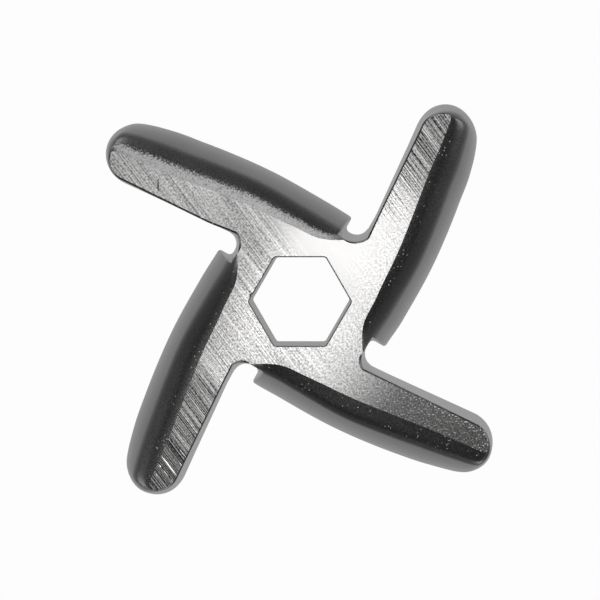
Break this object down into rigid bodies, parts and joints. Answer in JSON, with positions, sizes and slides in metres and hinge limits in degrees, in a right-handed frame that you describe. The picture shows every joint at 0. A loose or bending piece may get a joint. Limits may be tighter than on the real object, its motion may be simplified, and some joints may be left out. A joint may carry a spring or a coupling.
{
  "type": "meat grinder knife",
  "caption": "Flat pinwheel cutting knife for a household meat grinder, with a ground cutting face, sloping cast blade backs and a hexagonal drive hole.",
  "frame": {"origin": "on the axis of the drive hole, at the back face", "axes": "+Z along the drive axis, out of the ground cutting face; X through two corners of the hexagonal hole; Y square to two of its flats"},
  "size_m": [0.0374, 0.0374, 0.008],
  "materials": {
    "steel": "coarsely ground on the cutting face, smooth dark casting on the blade backs and walls"
  },
  "bodies": {
    "root": {"knife": "steel"}
  },
  "joints": []
}
